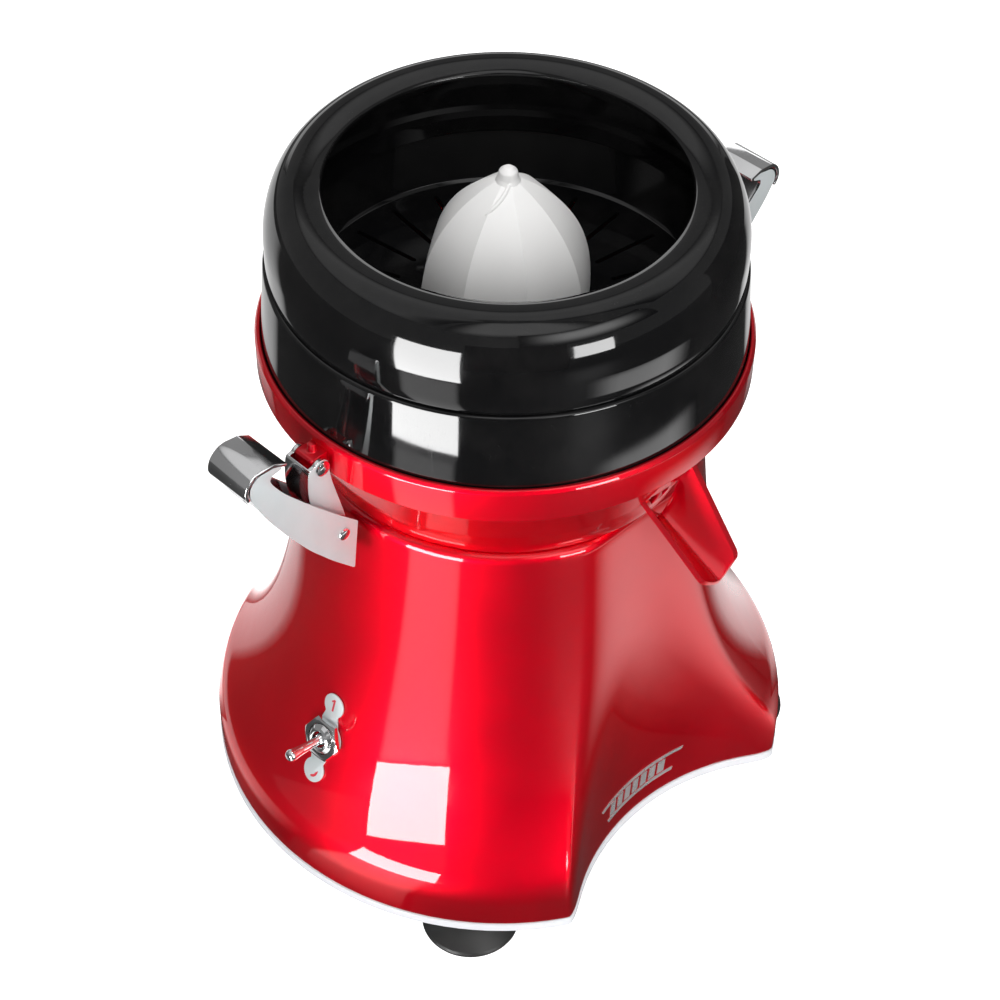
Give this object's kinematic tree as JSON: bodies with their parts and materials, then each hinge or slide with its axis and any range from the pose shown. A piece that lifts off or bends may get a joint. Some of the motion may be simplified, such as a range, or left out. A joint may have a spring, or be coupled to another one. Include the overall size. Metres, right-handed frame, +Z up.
{
  "type": "citrus press juicer",
  "caption": "Bench-top electric citrus press with a bell-shaped motor base, lift-off juice bowl and spout, strainer, splash ring, reamer cone, side latches and toggle switch.",
  "frame": {"origin": "on the motor's vertical axis, at the level of the surface that the four feet stand on", "axes": "+Z up along the motor and reamer axis; the juice spout points along -Y; the two latches are on -X (left, above the switch) and +X (right)"},
  "size_m": [0.2695, 0.2224, 0.2885],
  "materials": {
    "red_paint": "high gloss red lacquer on cast metal",
    "trim_grey": "satin light grey edge strip",
    "black_plastic": "glossy black moulding with fine scratches",
    "matte_black": "matte black",
    "rubber": "soft black rubber",
    "chrome": "polished chrome plate",
    "steel": "bright turned steel",
    "lamination": "stacked electrical steel",
    "copper": "enamelled copper",
    "aluminium": "as cast",
    "cone_white": "satin pale grey",
    "fan_plastic": "natural"
  },
  "bodies": {
    "base": {"body_housing": "red_paint", "base_trim_strip": "trim_grey", "base_plate": "matte_black", "suction_foot_1": "rubber", "suction_foot_2": "rubber", "suction_foot_3": "rubber", "suction_foot_4": "rubber", "foot_screw_1": "steel", "foot_screw_2": "steel", "foot_screw_3": "steel", "foot_screw_4": "steel", "plate_screw_1": "steel", "plate_screw_2": "steel", "plate_screw_3": "steel", "plate_screw_4": "steel", "cord_bushing": "rubber", "terminal_block": "fan_plastic", "run_capacitor": "aluminium", "capacitor_clip": "steel", "stator_core": "lamination", "winding_lower": "copper", "winding_upper": "copper", "bracket_lower": "aluminium", "bracket_upper": "aluminium", "bearing_lower": "steel", "bearing_upper": "steel", "motor_bolt_1": "steel", "motor_bolt_2": "steel", "motor_bolt_3": "steel", "motor_bolt_4": "steel", "shaft_seal": "rubber", "bowl_gasket": "rubber", "legend_plate": "chrome", "switch_nut": "chrome", "switch_bushing": "chrome", "switch_body": "matte_black", "switch_terminal_1": "copper", "switch_terminal_2": "copper", "switch_terminal_3": "copper"},
    "rotor": {"rotor_core": "lamination", "motor_shaft": "steel", "cooling_fan": "fan_plastic"},
    "toggle": {"toggle_lever": "chrome"},
    "bowl": {"juice_bowl": "red_paint", "lug_pin_left": "chrome", "lug_pin_right": "chrome"},
    "link_left": {"latch_link_left": "chrome", "lever_rivet_left": "chrome"},
    "link_right": {"latch_link_right": "chrome", "lever_rivet_right": "chrome"},
    "lever_left": {"latch_lever_left": "chrome"},
    "lever_right": {"latch_lever_right": "chrome"},
    "strainer": {"strainer_basket": "black_plastic"},
    "splash": {"splash_ring": "black_plastic"},
    "washer": {"thrust_washer": "fan_plastic"},
    "cone": {"reamer_cone": "cone_white"}
  },
  "joints": [
    {"name": "rotor_spin", "type": "hinge", "parent": "base", "child": "rotor", "pos_m": [0, 0, 0.1], "axis": [0, 0, 1], "continuous": true},
    {"name": "toggle_tilt", "type": "hinge", "parent": "base", "child": "toggle", "pos_m": [-0.09751, -0.0012, 0.07056], "axis": [0, 1, 0], "range_deg": [0, 24]},
    {"name": "bowl_lift", "type": "slide", "parent": "base", "child": "bowl", "axis": [0, 0, 1], "range_m": [0, 0.1]},
    {"name": "link_swing_left", "type": "hinge", "parent": "bowl", "child": "link_left", "pos_m": [-0.0936, 0, 0.2142], "axis": [0, 1, 0], "range_deg": [0, 25]},
    {"name": "link_swing_right", "type": "hinge", "parent": "bowl", "child": "link_right", "pos_m": [0.0936, 0, 0.2142], "axis": [0, -1, 0], "range_deg": [0, 25]},
    {"name": "lever_swing_left", "type": "hinge", "parent": "link_left", "child": "lever_left", "pos_m": [-0.0881, 0, 0.181], "axis": [0, -1, 0], "range_deg": [-8, 24]},
    {"name": "lever_swing_right", "type": "hinge", "parent": "link_right", "child": "lever_right", "pos_m": [0.0881, 0, 0.181], "axis": [0, 1, 0], "range_deg": [-22, 10]},
    {"name": "strainer_lift", "type": "slide", "parent": "bowl", "child": "strainer", "axis": [0, 0, 1], "range_m": [0, 0.05]},
    {"name": "ring_lift", "type": "slide", "parent": "strainer", "child": "splash", "axis": [0, 0, 1], "range_m": [0, 0.05]},
    {"name": "cone_turn", "type": "hinge", "parent": "strainer", "child": "washer", "pos_m": [0, 0, 0.232], "axis": [0, 0, 1], "continuous": true},
    {"name": "cone_lift", "type": "slide", "parent": "washer", "child": "cone", "axis": [0, 0, 1], "range_m": [0, 0.06]}
  ],
  "couplings": [
    {"joint": "cone_turn", "follows": "rotor_spin", "ratio": 1}
  ]
}
